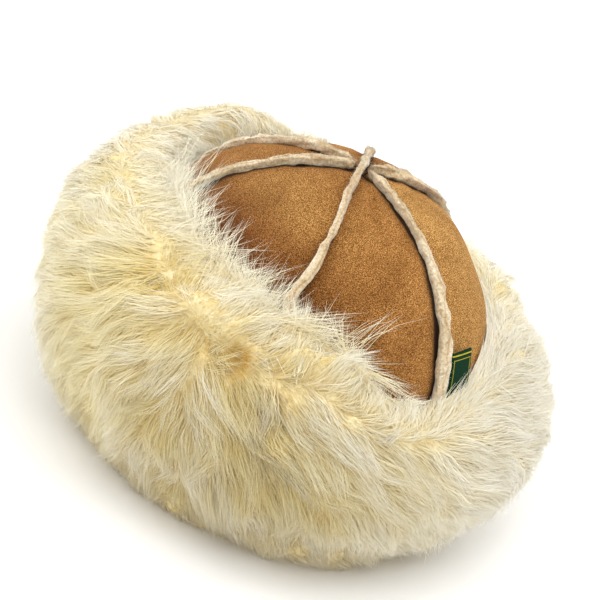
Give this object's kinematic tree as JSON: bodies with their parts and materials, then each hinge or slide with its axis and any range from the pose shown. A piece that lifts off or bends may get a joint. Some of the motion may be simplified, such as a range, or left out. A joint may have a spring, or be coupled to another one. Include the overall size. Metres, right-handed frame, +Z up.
{
  "type": "sheepskin hat",
  "caption": "Sheepskin hat: domed suede crown of gores joined by raised raw-edged seams, deep turned-up cuff of long cream fleece, and a small plain tab at the back seam.",
  "frame": {"origin": "on the surface the hat stands on, under the middle of its outline seen from above", "axes": "+Z up through the crown; -Y the wearer's front, +Y the back with the label seam; +X the wearer's left"},
  "size_m": [0.2698, 0.3052, 0.1779],
  "materials": {
    "suede": "tan suede with a short matt nap",
    "raw_edge": "cream raw edge of the skin with clipped wool",
    "fleece": "long soft cream wool, ochre at the roots",
    "label_tape": "woven dark green tape with a thin yellow border"
  },
  "bodies": {
    "root": {"crown_gore_1": "suede", "crown_gore_2": "suede", "crown_gore_3": "suede", "crown_gore_4": "suede", "crown_gore_5": "suede", "crown_gore_6": "suede", "seam_long": "raw_edge", "seam_back": "raw_edge", "seam_right_back": "raw_edge", "seam_front": "raw_edge", "seam_left_front": "raw_edge", "fleece_cuff": "fleece", "label": "label_tape"}
  },
  "joints": []
}
